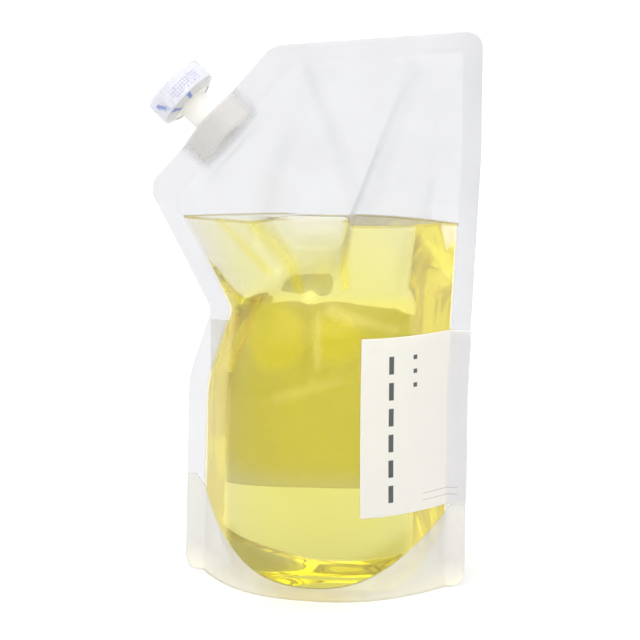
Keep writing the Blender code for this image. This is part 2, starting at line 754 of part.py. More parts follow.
def cap_liner():
    radius = THREAD_RADIUS
    profile = [
        (0.0, LINER_BOTTOM + LINER_THICKNESS),
        (radius, LINER_BOTTOM + LINER_THICKNESS),
        (radius, LINER_BOTTOM),
        (0.0, LINER_BOTTOM),
    ]
    made = turned("cap_liner", profile, PARTS)
    made.data.materials.append(material("cap_liner", (0.93, 0.93, 0.92), 0.7))
    return made


def cap_sleeve():
    """Shrunk film over the cap: hem on top, side and a cone drawn in below."""
    side = CAP_RADIUS + SEAT
    top = CAP_TOP + SEAT
    bottom = CAP_BOTTOM - SEAT
    t = SLEEVE_FILM
    profile = [
        (side - SLEEVE_HEM, top + t),
        (side - CAP_EDGE, top + t),
        (side - 0.2 * CAP_EDGE + t, top - 0.2 * CAP_EDGE + t),
        (side + t, top - CAP_EDGE + t),
        (side + t, bottom),
        (SLEEVE_MOUTH + t, SLEEVE_BOTTOM),
        (SLEEVE_MOUTH, SLEEVE_BOTTOM),
        (side, bottom + 0.3 * t),
        (side, top - CAP_EDGE),
        (side - 0.2 * CAP_EDGE, top - 0.2 * CAP_EDGE),
        (side - CAP_EDGE, top),
        (side - SLEEVE_HEM, top),
    ]
    made = turned("cap_sleeve", profile, PARTS, closed=True)
    made.data.materials.append(material("cap_sleeve", (0.8, 0.83, 0.92), 0.25, 0.4))
    return made


def label_window():
    """Plan of the wrapped sheet: short on the front, nearly the whole back."""
    plan = [
        (LABEL_FRONT, -OUTSIDE),
        (OUTSIDE, -OUTSIDE),
        (OUTSIDE, OUTSIDE),
        (LABEL_BACK, OUTSIDE),
        (LABEL_BACK, 0.0),
        (LABEL_FRONT, 0.0),
    ]
    curve = bpy.data.curves.new("label window", "CURVE")
    curve.dimensions = "2D"
    curve.fill_mode = "BOTH"
    curve.extrude = (LABEL_TOP - LABEL_BOTTOM) / 2
    spline = curve.splines.new("POLY")
    spline.points.add(len(plan) - 1)
    for point, (x, y) in zip(spline.points, plan):
        point.co = (x, y, 0.0, 1.0)
    spline.use_cyclic_u = True
    middle = Matrix.Translation((0.0, 0.0, (LABEL_TOP + LABEL_BOTTOM) / 2))
    return mesh_from_curve("label window", curve, middle)


def label():
    inside = FILM + LABEL_GAP
    sheet = web_loft("label", inside + LABEL_PAPER, PARTS)
    boolean(sheet, "INTERSECT", outline_prism("label outside", LABEL_GAP + LABEL_PAPER))
    core = web_loft("label core", inside, CUTTERS)
    boolean(core, "INTERSECT", outline_prism("label inside", LABEL_GAP))
    boolean(sheet, "DIFFERENCE", core)
    boolean(sheet, "INTERSECT", label_window())
    sheet.data.materials.append(material("label", (0.92, 0.9, 0.85), 0.6))
    return sheet


def build():
    clear_scene()
    pouch_film()
    cleaner_liquid()
    spout()
    cap()
    cap_liner()
    cap_sleeve()
    label()
    print("pouch built")


build()
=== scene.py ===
import math

import bmesh
import bpy
from mathutils import Matrix, Vector


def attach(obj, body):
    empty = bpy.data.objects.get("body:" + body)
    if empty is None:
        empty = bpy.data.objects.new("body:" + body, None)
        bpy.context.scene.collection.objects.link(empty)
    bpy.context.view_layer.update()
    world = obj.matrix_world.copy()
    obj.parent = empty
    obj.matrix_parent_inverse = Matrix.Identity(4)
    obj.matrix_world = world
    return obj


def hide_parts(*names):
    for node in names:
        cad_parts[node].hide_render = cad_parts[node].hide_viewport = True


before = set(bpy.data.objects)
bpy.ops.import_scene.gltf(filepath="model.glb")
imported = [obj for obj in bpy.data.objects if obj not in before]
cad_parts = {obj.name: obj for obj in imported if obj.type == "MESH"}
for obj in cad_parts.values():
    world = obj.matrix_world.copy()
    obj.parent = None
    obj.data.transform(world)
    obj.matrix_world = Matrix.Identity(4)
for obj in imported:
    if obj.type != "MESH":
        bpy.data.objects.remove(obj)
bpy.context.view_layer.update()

mm = 0.001

# the filled pouch in millimetres, as it stands on the table
pouch = {
    "film": 0.2,
    "sideSeal": 10.0,
    "topSeal": 9.5,
    "cornerSeal": 15.0,
    "footSeal": 7.0,
    "gussetMiddle": 4.0,
    "gussetRise": 52.0,
    "gussetSpread": 70.0,
    "gussetPower": 2.4,
    "sealOpening": 0.15,
    "cornerAngle": math.radians(47.6),
    "topSlope": math.radians(4.3),
    "heightAtMiddle": 275.7,
    "shoulder": (-90.0, 202.0),
    "spoutAlong": 47.7,
    "rightEdge": 81.3,
    "frontDepths": ((0, 39), (45, 43.5), (90, 44.5), (135, 39), (187, 21), (225, 13.5), (252, 7), (266, 0)),
    "backDepths": ((0, 39), (45, 42), (90, 42.5), (135, 38), (187, 26), (225, 15.5), (252, 7.5), (266, 0)),
    "fullPower": 2.5,
    "flatPower": 2.0,
    "level": 187.0,
    "padHalfLength": 34.0,
    "padShare": 0.5,
    "boatHalfLength": 18.0,
    "boatHalfWidth": 8.3,
}


def smoothStep(value):
    value = min(1.0, max(0.0, value))
    return value * value * (3.0 - 2.0 * value)


def mixed(a, b, share):
    return a + (b - a) * share


def through(stations, at):
    # smooth curve through (position, value) stations
    if at <= stations[0][0]:
        return stations[0][1]
    if at >= stations[-1][0]:
        return stations[-1][1]
    last = len(stations) - 1

    def slope(i):
        low, high = max(0, i - 1), min(last, i + 1)
        return (stations[high][1] - stations[low][1]) / (stations[high][0] - stations[low][0])

    i = max(k for k in range(last) if stations[k][0] <= at)
    (p0, v0), (p1, v1) = stations[i], stations[i + 1]
    span = p1 - p0
    f = (at - p0) / span
    return (
        v0 * (1 + 2 * f) * (1 - f) ** 2
        + slope(i) * span * f * (1 - f) ** 2
        + v1 * f * f * (3 - 2 * f)
        + slope(i + 1) * span * f * f * (f - 1)
    )


def between(chain, at):
    # straight between (position, value) points
    if at <= chain[0][0]:
        return chain[0][1]
    for (p0, v0), (p1, v1) in zip(chain, chain[1:]):
        if at <= p1:
            return v0 + (v1 - v0) * (at - p0) / max(p1 - p0, 1e-6)
    return chain[-1][1]


def crossing(point, run, other, otherRun):
    det = run[0] * otherRun[1] - run[1] * otherRun[0]
    dx, dz = other[0] - point[0], other[1] - point[1]
    along = (dx * otherRun[1] - dz * otherRun[0]) / det
    return point[0] + along * run[0], point[1] + along * run[1]


cornerRun = (math.cos(pouch["cornerAngle"]), math.sin(pouch["cornerAngle"]))


def outlineCorners():
    # x, z, radius and the seal width of the edge that follows
    topRun = (math.cos(pouch["topSlope"]), math.sin(pouch["topSlope"]))
    topLeft = crossing(pouch["shoulder"], cornerRun, (0.0, pouch["heightAtMiddle"]), topRun)
    right = pouch["rightEdge"]
    topRight = pouch["heightAtMiddle"] + right * math.tan(pouch["topSlope"])
    side = pouch["sideSeal"]
    return [
        (-72.5, 0.0, 8.0, side),
        (-69.5, 104.0, 60.0, side),
        (-57.0, 139.5, 9.0, side),
        (*pouch["shoulder"], 10.0, pouch["cornerSeal"]),
        (*topLeft, 9.0, pouch["topSeal"]),
        (right, topRight, 7.0, side),
        (right, 222.0, 60.0, side),
        (75.6, 100.0, 60.0, side),
        (75.6, 0.0, 8.0, 0.0),
    ]


def shifted(points, shifts):
    # each edge moved outwards by its shift, corners met again
    lines = []
    for i, point in enumerate(points):
        (x0, z0), (x1, z1) = point[:2], points[(i + 1) % len(points)][:2]
        length = math.hypot(x1 - x0, z1 - z0)
        run = ((x1 - x0) / length, (z1 - z0) / length)
        lines.append(((x0 - run[1] * shifts[i], z0 + run[0] * shifts[i]), run))
    return [(*crossing(*lines[i - 1], *lines[i]), points[i][2]) for i in range(len(points))]


def roundedArcs(points, sharp=(), steps=12):
    arcs = []
    for i, (x, z, radius) in enumerate(points):
        here = Vector((x, z))
        if i in sharp:
            arcs.append([here])
            continue
        back = Vector(points[i - 1][:2]) - here
        ahead = Vector(points[(i + 1) % len(points)][:2]) - here
        half = back.angle(ahead) / 2
        reach = min(radius / math.tan(half), 0.45 * back.length, 0.45 * ahead.length)
        radius = reach * math.tan(half)
        middle = (back.normalized() + ahead.normalized()).normalized()
        centre = here + middle * radius / math.sin(half)
        start = here + back.normalized() * reach - centre
        turn = start.angle_signed(here + ahead.normalized() * reach - centre)
        arc = []
        for k in range(steps + 1):
            c, s = math.cos(-turn * k / steps), math.sin(-turn * k / steps)
            arc.append(centre + Vector((start.x * c - start.y * s, start.x * s + start.y * c)))
        arcs.append(arc)
    return arcs


def sideChains(arcs, top):
    # (share of height, x) down each side of an outline
    left = [p for arc in arcs[0:5] for p in arc]
    right = [p for arc in reversed(arcs[5:9]) for p in reversed(arc)]
    return [[(p.y / top(p.x), p.x) for p in chain] for chain in (left, right)]


corners = outlineCorners()
rootPoints = shifted([c[:3] for c in corners], [-c[3] for c in corners])
(rootX0, rootZ0), (rootX1, rootZ1) = rootPoints[4][:2], rootPoints[5][:2]


def topRoot(x):
    return rootZ0 + (rootZ1 - rootZ0) * (x - rootX0) / (rootX1 - rootX0)


leftRoot, rightRoot = sideChains(roundedArcs(rootPoints, sharp=(0, 4, 5, 8)), topRoot)
leftEdge, rightEdge = sideChains(roundedArcs([c[:3] for c in corners]), topRoot)
topShare = leftEdge[-1][0]
spoutFoot = (
    pouch["shoulder"][0] + pouch["spoutAlong"] * cornerRun[0],
    pouch["shoulder"][1] + pouch["spoutAlong"] * cornerRun[1],
)


def sideOf(start, end, x, z):
    run = Vector((end[0] - start[0], end[1] - start[1])).normalized()
    return (x - start[0]) * run.y - (z - start[1]) * run.x


def ridge(x, z, start, end, width, fade=0.3):
    # 1 on a line, falling to 0 at its width and past its ends
    run = Vector(end) - Vector(start)
    along = (Vector((x, z)) - Vector(start)).dot(run) / run.length_squared
    away = abs(sideOf(start, end, x, z))
    ends = smoothStep((along + fade) / fade) * smoothStep((1.0 + fade - along) / fade)
    return (1.0 - smoothStep(away / width)) * ends


def dome(x, z, centre, radius, squash=1.0):
    far = math.hypot(x - centre[0], (z - centre[1]) * squash) / radius
    return (1.0 - far * far) ** 2 if far < 1.0 else 0.0


# the dent that runs up from the belly between the front web's folds, and the strip beside the right seal
dents = {
    "left": ((150, -20), (187, -34), (262, -14)),
    "right": ((150, 20), (189, 23), (262, 52)),
    "share": 0.8,
    "start": 153.0,
    "rise": 36.0,
    "slope": 18.0,
    "wall": 15.0,
    "pinchStart": (50.0, 150.0),
    "pinchShare": 0.55,
    "pinchWidth": 14.0,
    "pinchRise": 16.0,
    "leanShare": 0.15,
}


def dentShare(x, z):
    left = smoothStep((x - between(dents["left"], z)) / dents["slope"])
    right = smoothStep((between(dents["right"], z) - x) / dents["wall"])
    middle = left * right * smoothStep((z - dents["start"]) / dents["rise"])
    strip = smoothStep((x - dents["pinchStart"][0]) / dents["pinchWidth"])
    strip *= smoothStep((z - dents["pinchStart"][1]) / dents["pinchRise"])
    return max(dents["share"] * middle, dents["pinchShare"] * strip)


def creaseShare(x, z):
    start, end = Vector((-58.0, 141.0)), Vector((10.0, 180.0))
    along = (Vector((x, z)) - start).dot(end - start) / (end - start).length_squared
    away = abs(sideOf(start, end, x, z))
    return 0.16 * (1.0 - smoothStep(away / 13.0)) * smoothStep(1.3 - along)


def lean(x, z):
    # above the waist the spout's side is thinner than the other
    return 1.0 - dents["leanShare"] * smoothStep((z - 135.0) / 50.0) * smoothStep((26.0 - x) / 46.0)


def frontRelief(x, z):
    # lobes and grooves between the film's creases, in millimetres outwards
    lobes = 2.4 * dome(x, z, (-17.0, 133.0), 25.0) + 2.0 * dome(x, z, (17.0, 135.0), 18.0)
    groove = -1.6 * ridge(x, z, (3.0, 150.0), (6.0, 118.0), 5.0)
    seam = -1.4 * ridge(x, z, (56.0, 206.0), (47.0, 160.0), 6.0)
    return lobes + groove + seam


def cornerPlace(x, z):
    # along the cut-off corner from the spout's axis, and inwards from its edge
    dx, dz = x - spoutFoot[0], z - spoutFoot[1]
    return dx * cornerRun[0] + dz * cornerRun[1], dx * cornerRun[1] - dz * cornerRun[0]


def spoutBulge(x, z):
    along, inwards = cornerPlace(x, z)
    seal = pouch["cornerSeal"]
    width = max(0.0, 1.0 - (along / (1.45 * pouch["boatHalfLength"])) ** 2)
    rise = min(1.0, max(0.0, (inwards - seal) / (0.6 * seal)))
    fall = 1.0 - smoothStep((inwards - 2.0 * seal) / (3.0 * seal))
    return pouch["boatHalfWidth"] * width * rise * fall


def channelHalf(x, z):
    # how far each web stands off the seal plane round the weld fitting
    along, inwards = cornerPlace(x, z)
    width = max(0.0, 1.0 - (along / 19.4) ** 2)
    return 9.2 * width * (1.0 - smoothStep((inwards - 14.0) / 15.0))


def sectionDepth(x, z, depths):
    share = z / topRoot(x)
    left, right = between(leftRoot, share), between(rightRoot, share)
    across = min(1.0, abs((2 * x - left - right) / (right - left)))
    upper = smoothStep((z - 0.5 * pouch["level"]) / (0.7 * pouch["level"]))
    power = mixed(pouch["fullPower"], pouch["flatPower"], upper)
    middle = through(depths, max(0.0, min(1.0, share)) * depths[-1][0])
    edge = smoothStep((1.0 - share) / 0.02)
    return middle * (1.0 - across**power) * lean(x, z) + spoutBulge(x, z) * (1.0 - across**8) * edge


def frontDepth(x, z):
    z = max(z, 0.0)
    front = sectionDepth(x, z, pouch["frontDepths"]) * (1.0 - creaseShare(x, z))
    back = sectionDepth(x, z, pouch["backDepths"])
    thick = (front + back) * (1.0 - dentShare(x, z))
    return pouch["sealOpening"] + thick - back + frontRelief(x, z) * smoothStep(thick / 24.0)


def backDepth(x, z):
    return pouch["sealOpening"] + sectionDepth(x, max(z, 0.0), pouch["backDepths"])


def offsetDepth(depth, x, z, offset):
    # half depth moved square to the web
    step = 0.5
    here = depth(x, z)
    dx = (depth(x + step, z) - here) / step
    dz = (depth(x, z + step) - here) / step
    return here + offset * min(2.2, math.sqrt(1.0 + dx * dx + dz * dz))


def rimHeight(x):
    away = min(1.0, abs(x - pouch["gussetMiddle"]) / pouch["gussetSpread"])
    return pouch["footSeal"] + (pouch["gussetRise"] - pouch["footSeal"]) * away ** pouch["gussetPower"]


def gussetHeight(x, spread):
    rim = rimHeight(x)
    away, pad, half = abs(x - pouch["gussetMiddle"]), pouch["padShare"], pouch["padHalfLength"]
    across = 1.0 - smoothStep((spread - pad) / (1.0 - pad))
    along = 1.0 - smoothStep((away - half) / (pouch["gussetSpread"] - half))
    return rim - (rim - pouch["film"]) * across * along


def gridSheet(name, columns, rows, place, marks=None):
    # a grid laid out by place(a, b), with point attributes from marks(a, b)
    bm = bmesh.new()
    bmesh.ops.create_grid(bm, x_segments=columns, y_segments=rows, size=0.5)
    layers = {}
    if marks:
        layers = {key: bm.verts.layers.float.new(key) for key in marks(0.5, 0.5)}
    for vertex in bm.verts:
        a, b = vertex.co.x + 0.5, vertex.co.y + 0.5
        if marks:
            for key, value in marks(a, b).items():
                vertex[layers[key]] = value
        vertex.co = Vector(place(a, b)) * mm
    mesh = bpy.data.meshes.new(name)
    bm.to_mesh(mesh)
    bm.free()
    return mesh


def joinSheets(name, meshes, distance):
    bm = bmesh.new()
    for mesh in meshes:
        bm.from_mesh(mesh)
        bpy.data.meshes.remove(mesh)
    if distance:
        bmesh.ops.remove_doubles(bm, verts=bm.verts, dist=distance * mm)
        bmesh.ops.recalc_face_normals(bm, faces=bm.faces)
    mesh = bpy.data.meshes.new(name)
    bm.to_mesh(mesh)
    bm.free()
    return mesh


def newPiece(name, mesh, body, slot, *nodes):
    piece = bpy.data.objects.new(name, mesh)
    bpy.context.scene.collection.objects.link(piece)
    mesh.shade_smooth()
    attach(piece, body)
    if nodes:
        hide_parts(*nodes)
    return piece


def thickened(piece, name, thickness):
    # a sheet's wall, laid inwards, with the next material on its far side
    wall = piece.modifiers.new(name, "SOLIDIFY")
    wall.thickness = thickness * mm
    wall.offset = -1.0
    wall.material_offset = 1


def setInput(tree, socket, value):
    # a link for a socket, a plain value for anything else
    if isinstance(value, bpy.types.NodeSocket):
        tree.links.new(value, socket)
    elif isinstance(value, tuple) and len(value) == 3 and socket.type == "RGBA":
        socket.default_value = (*value, 1.0)
    else:
        socket.default_value = value


def addNode(tree, kind, values=None, **settings):
    made = tree.nodes.new(kind)
    for key, value in settings.items():
        setattr(made, key, value)
    for key, value in (values or {}).items():
        setInput(tree, made.inputs[key], value)
    return made


def sums(tree, operation, a, b=0.0, clamp=False):
    return addNode(tree, "ShaderNodeMath", {0: a, 1: b}, operation=operation, use_clamp=clamp).outputs[0]


def blended(tree, share, a, b):
    # between two numbers
    return addNode(tree, "ShaderNodeMix", {0: share, 2: a, 3: b}).outputs[0]


def blendedColour(tree, share, a, b):
    return addNode(tree, "ShaderNodeMix", {0: share, 6: a, 7: b}, data_type="RGBA").outputs[2]


def ramped(tree, value, low, high, first=0.0, last=1.0):
    return addNode(tree, "ShaderNodeMapRange", {0: value, 1: low, 2: high, 3: first, 4: last}).outputs[0]


def attribute(tree, name):
    return addNode(tree, "ShaderNodeAttribute", attribute_name=name).outputs["Fac"]


def noiseField(tree, scale, detail=3.0, stretch=(1.0, 1.0, 1.0), turn=(0.0, 0.0, 0.0)):
    where = addNode(tree, "ShaderNodeTexCoord").outputs["Object"]
    place = addNode(tree, "ShaderNodeMapping", {"Vector": where, "Scale": stretch, "Rotation": turn})
    values = {"Vector": place.outputs[0], "Scale": scale, "Detail": detail}
    return addNode(tree, "ShaderNodeTexNoise", values).outputs["Fac"]


def bumped(tree, height, strength, distance, normal=None):
    values = {"Height": height, "Strength": strength, "Distance": distance}
    if normal:
        values["Normal"] = normal
    return addNode(tree, "ShaderNodeBump", values).outputs[0]


def grained(tree, scale, strength, distance):
    # fine grain that paper and plastics share: its field and its normal
    group = bpy.data.node_groups.get("fineGrain")
    if not group:
        group = bpy.data.node_groups.new("fineGrain", "ShaderNodeTree")
        for key in ("Scale", "Strength", "Distance"):
            group.interface.new_socket(key, in_out="INPUT", socket_type="NodeSocketFloat")
        group.interface.new_socket("Grain", in_out="OUTPUT", socket_type="NodeSocketFloat")
        group.interface.new_socket("Normal", in_out="OUTPUT", socket_type="NodeSocketVector")
        given = addNode(group, "NodeGroupInput").outputs
        field = noiseField(group, given["Scale"], 3.0)
        normal = bumped(group, field, given["Strength"], given["Distance"])
        addNode(group, "NodeGroupOutput", {"Grain": field, "Normal": normal})
    values = {"Scale": scale, "Strength": strength, "Distance": distance}
    placed = addNode(tree, "ShaderNodeGroup", values, node_tree=group)
    return placed.outputs["Grain"], placed.outputs["Normal"]


def principled(name, colour, roughness):
    made = bpy.data.materials.new(name)
    made.use_nodes = True
    shader = made.node_tree.nodes["Principled BSDF"]
    shader.inputs["Base Color"].default_value = (*colour, 1.0)
    shader.inputs["Roughness"].default_value = roughness
    return made, made.node_tree, shader


# the film: one folded sheet, its seals milky, its webs clear where the liquid wets them
film = {
    "columns": 112,
    "rows": 160,
    "finShare": 0.07,
    "closed": 0.02,
    "tuck": 0.05,
    # how much each face hides where it is dry, wet, sealed and at the foot
    "outside": (0.09, 0.065, 0.12, 0.5),
    "inside": (0.07, 0.045, 0.08, 0.2),
    "foldGain": 1.35,
    "weldCover": 0.42,
    "lineCover": 0.5,
    # a mark's name, its colour and how much it hides; each is painted light or shade over the cleaner: a painted
    # shade veil, painted refraction glow, painted shade by the rim and painted highlights
    "paintedLightTints": (
        # painted shade: a darker yellowish veil
        ("pale", (0.45, 0.42, 0.30), 0.3),
        ("glow", (0.62, 0.52, 0.01), 0.52),
        ("dull", (0.34, 0.29, 0.10), 0.36),
        ("light", (0.90, 0.78, 0.26), 0.44),
    ),
    "lineColour": (0.62, 0.50, 0.04),
    "webColour": (0.29, 0.29, 0.315),
    "sealColour": (0.38, 0.375, 0.41),
    "sealPaintedShade": (0.22, 0.22, 0.24),
    "footColour": (0.75, 0.735, 0.69),
    "footPaintedLight": (0.95, 0.92, 0.80),
    "footPaintedYellowLight": (0.86, 0.72, 0.22),
    "foldHazeAndShadeColour": (0.31, 0.31, 0.34),
    "wetColour": (0.5, 0.36, 0.08),
    "weldColour": (0.68, 0.66, 0.645),
}


def webPlace(a, b):
    # x and z in the seal plane for a place on a web, and whether it's on a fin
    share, fin = b * topShare, film["finShare"]
    low, high = between(leftEdge, share), between(rightEdge, share)
    inner = min(share, 1.0)
    rootLow, rootHigh = between(leftRoot, inner), between(rightRoot, inner)
    onFin = a < fin or a > 1.0 - fin or share >= 1.0
    if a < fin:
        x = mixed(low, rootLow, a / fin)
    elif a > 1.0 - fin:
        x = mixed(rootHigh, high, (a - 1.0 + fin) / fin)
    else:
        x = mixed(rootLow, rootHigh, (a - fin) / (1.0 - 2.0 * fin))
    x = min(high, max(low, x))
    return x, share * topRoot(x), onFin


# painted refraction glow and painted highlight streaks on the front web over the cleaner: share, start, end,
# width and fade
paintedRefractionStreaks = (
    (0.8, (-50.0, 187.0), (-22.0, 163.0), 4.0, 0.1),
    (0.9, (-31.0, 186.0), (-3.0, 156.0), 5.5, 0.1),
    (0.9, (14.0, 187.0), (20.0, 158.0), 5.0, 0.1),
    (0.8, (59.5, 187.0), (51.0, 158.0), 4.0, 0.1),
)
paintedHighlightStreaks = (
    (0.6, (13.0, 148.0), (44.0, 138.0), 5.0, 0.15),
    (0.5, (7.0, 146.0), (8.0, 120.0), 4.0, 0.15),
    (0.35, (-12.0, 104.0), (20.0, 114.0), 5.0, 0.2),
)

# painted refraction glow and painted highlight patches there, also the painted yellow light in the foot's
# middle: most, share, centre, radius and squash
paintedRefractionPatches = (
    (1.0, 0.5, (6.0, 162.0), 11.0, 1.0),
    (0.9, 1.6, (-15.0, 133.0), 27.0, 1.0),
    (0.9, 1.5, (17.0, 134.0), 20.0, 1.0),
    (1.0, 0.5, (0.0, 95.0), 34.0, 0.7),
    (1.0, 0.7, (3.0, 0.0), 40.0, 2.4),
)
paintedHighlightPatches = ((1.0, 0.9, (2.8, 153.0), 6.5, 1.0),)

# the edges of the dent, which show above the cleaner, hazier for the folded film and painted darker as painted
# shade: start, end and width
foldEdges = (
    ((20.0, 186.0), (-6.0, 262.0), 5.0),
    ((20.0, 186.0), (48.0, 262.0), 7.0),
    ((56.0, 206.0), (47.0, 160.0), 3.0),
)


def strongest(x, z, streaks, patches):
    values = [share * ridge(x, z, *form) for share, *form in streaks]
    values += [min(most, share * dome(x, z, *form)) for most, share, *form in patches]
    return max(values)


def paintedLightOverCleaner(x, z):
    # where the front web is painted over the cleaner: deep yellow refraction glow, a darker shaded veil,
    # highlights and shade near the rim
    under = smoothStep((pouch["level"] + 1.0 - z) / 1.5)
    glow = strongest(x, z, paintedRefractionStreaks, paintedRefractionPatches)
    # the cleaner's surface seen as a lens, painted as refraction glow
    lens = 0.55 * ridge(x, z, (18.0, 189.6), (55.0, 189.0), 3.2, 0.1)
    # painted shade: a darker veil over the cleaner's bottom and top
    pale = max(smoothStep((76.0 - z) / 20.0), smoothStep((z - 146.0) / 10.0))
    # painted highlights: cream at the cleaner's left and right sides and along the film's creases
    light = max(
        0.95 * smoothStep((x - 47.0) / 7.0),
        0.9 * smoothStep((-38.0 - x) / 7.0) * smoothStep((158.0 - z) / 10.0),
        strongest(x, z, paintedHighlightStreaks, paintedHighlightPatches),
    )
    above = z - rimHeight(x)
    return {
        "glow": max(lens, glow * under),
        "pale": pale * under,
        "light": light * under,
        # painted shade: a dark olive veil near the rim
        "dull": smoothStep((17.0 - above) / 9.0),
    }


def webMarks(a, b, front):
    x, z, onFin = webPlace(a, b)
    marks = dict.fromkeys(("glow", "pale", "light", "dull"), 0.0)
    if front and not onFin and z < pouch["level"] + 6.0:
        marks.update(paintedLightOverCleaner(x, z))
    edge = max(ridge(x, z, *form, 0.1) for form in foldEdges)
    line = max(smoothStep((-12.0 - x) / 14.0), smoothStep((x - 10.0) / 6.0))
    along, inwards = cornerPlace(x, z)
    weld = smoothStep((22.0 - abs(along)) / 6.0) * smoothStep((19.0 - inwards) / 7.0)
    marks.update({
        "line": 0.0 if onFin else line,
        "weld": weld,
        "seal": 1.0 if onFin else 0.0,
        "foot": 1.0,
        "wet": 0.0 if onFin else 1.0,
        "fold": 0.0 if onFin else edge,
    })
    return marks


def webOut(depth, a, b):
    x, z, onFin = webPlace(a, b)
    out = film["closed"] + pouch["film"] if onFin else offsetDepth(depth, x, z, pouch["film"])
    return x, max(out, channelHalf(x, z)), z


def frontWeb(a, b):
    x, out, z = webOut(frontDepth, a, b)
    return x, -out, z


def backWeb(a, b):
    x, out, z = webOut(backDepth, 1.0 - a, b)
    return x, out, z


def gussetPlace(a, b):
    # b runs from the back rim to the front rim; x is found in steps, since the rim rises
    spread = 2.0 * b - 1.0
    x = mixed(-62.0, 65.0, a)
    for step in range(3):
        share = rimHeight(x) / topRoot(x)
        x = mixed(between(leftRoot, share), between(rightRoot, share), a)
    z = rimHeight(x)
    reach = (frontDepth if spread > 0 else backDepth)(x, z)
    return x, -spread * max(film["closed"], reach - film["tuck"]), gussetHeight(x, abs(spread))


def placeOnPouch(tree):
    # millimetres to the right and up
    where = addNode(tree, "ShaderNodeTexCoord").outputs["Object"]
    large = addNode(tree, "ShaderNodeVectorMath", {0: where, "Scale": 1000.0}, operation="SCALE").outputs[0]
    split = addNode(tree, "ShaderNodeSeparateXYZ", {0: large})
    return split.outputs[0], split.outputs[2]


def belowRim(tree, across, up):
    # 1 below the curve in which the gusset meets the webs
    away = sums(tree, "ABSOLUTE", sums(tree, "SUBTRACT", across, pouch["gussetMiddle"]))
    away = sums(tree, "DIVIDE", away, pouch["gussetSpread"], True)
    climb = sums(tree, "POWER", away, pouch["gussetPower"])
    rise = sums(tree, "MULTIPLY", climb, pouch["gussetRise"] - pouch["footSeal"])
    above = sums(tree, "SUBTRACT", up, sums(tree, "ADD", rise, pouch["footSeal"]))
    return ramped(tree, above, 0.4, -0.6)


def filmMaterial(name, dry, wet, seal, foot, gloss):
    made, tree, shader = principled(name, film["webColour"], 0.2)
    isSeal, isFold, isWeld = (attribute(tree, key) for key in ("seal", "fold", "weld"))
    across, up = placeOnPouch(tree)
    isFoot = sums(tree, "MULTIPLY", attribute(tree, "foot"), belowRim(tree, across, up))
    level = pouch["level"]
    isWet = sums(tree, "MULTIPLY", attribute(tree, "wet"), ramped(tree, up, level + 0.4, level - 0.4))
    isWet = sums(tree, "MULTIPLY", isWet, sums(tree, "SUBTRACT", 1.0, isFoot))
    mottle = ramped(tree, noiseField(tree, 26.0, 4.0), 0.3, 0.7, 0.85, 1.15)
    # folds above the cleaner: more haze for the folded film, and painted shade
    folded = sums(tree, "MULTIPLY", isFold, sums(tree, "SUBTRACT", 1.0, isWet))
    haze = blended(tree, folded, blended(tree, isWet, dry, wet), dry * film["foldGain"])
    haze = blended(tree, isFoot, blended(tree, isSeal, haze, seal), foot)
    haze = blended(tree, isWeld, haze, film["weldCover"])
    haze = sums(tree, "MULTIPLY", haze, mottle)
    colour = blendedColour(tree, folded, film["webColour"], film["foldHazeAndShadeColour"])
    # painted light: the wet film's haze is yellow, for light through the cleaner behind it
    colour = blendedColour(tree, isWet, colour, film["wetColour"])
    # the cleaner's edge stands a little up the film
    edge = sums(tree, "MULTIPLY", bandOf(tree, up, level - 0.8, level + 0.5, 0.3), attribute(tree, "line"))
    haze = blended(tree, edge, haze, film["lineCover"])
    colour = blendedColour(tree, edge, colour, film["lineColour"])
    # painted shade: the seals darker towards the right
    sealWithPaintedShade = blendedColour(tree, ramped(tree, across, 50.0, 78.0), film["sealColour"], film["sealPaintedShade"])
    # painted light: the foot brighter towards its bottom
    footWithPaintedLight = blendedColour(tree, ramped(tree, up, 14.0, 2.0), film["footColour"], film["footPaintedLight"])
    for key, tint, cover in film["paintedLightTints"] if gloss else ():
        share = attribute(tree, key)
        haze = blended(tree, share, haze, sums(tree, "MAXIMUM", haze, cover))
        colour = blendedColour(tree, share, colour, tint)
    colour = blendedColour(tree, isSeal, colour, sealWithPaintedShade)
    colour = blendedColour(tree, isWeld, colour, film["weldColour"])
    # painted light: yellow light through the cleaner painted into the foot's middle
    middle = sums(tree, "MULTIPLY", attribute(tree, "glow"), 0.75)
    colour = blendedColour(tree, isFoot, colour, blendedColour(tree, middle, footWithPaintedLight, film["footPaintedYellowLight"]))
    creases = noiseField(tree, 30.0, 5.0, (1.0, 1.0, 0.35), (0.0, math.radians(25), 0.0))
    normal = bumped(tree, creases, 0.35, 0.0012)
    normal = bumped(tree, noiseField(tree, 420.0, 2.0), 0.1, 0.0002, normal)
    if gloss:
        # the sheen of the outside is added over the haze
        fresnel = addNode(tree, "ShaderNodeFresnel", {"IOR": 1.45, "Normal": normal}).outputs[0]
        inside = addNode(tree, "ShaderNodeNewGeometry").outputs["Backfacing"]
        fresnel = sums(tree, "MULTIPLY", fresnel, sums(tree, "SUBTRACT", 1.0, inside))
        haze = sums(tree, "ADD", haze, fresnel, True)
        tree.links.new(sums(tree, "DIVIDE", fresnel, haze), shader.inputs["Metallic"])
    tree.links.new(haze, shader.inputs["Alpha"])
    tree.links.new(colour, shader.inputs["Base Color"])
    tree.links.new(normal, shader.inputs["Normal"])
    tree.links.new(ramped(tree, noiseField(tree, 60.0), 0.3, 0.7, 0.16, 0.26), shader.inputs["Roughness"])
    return made


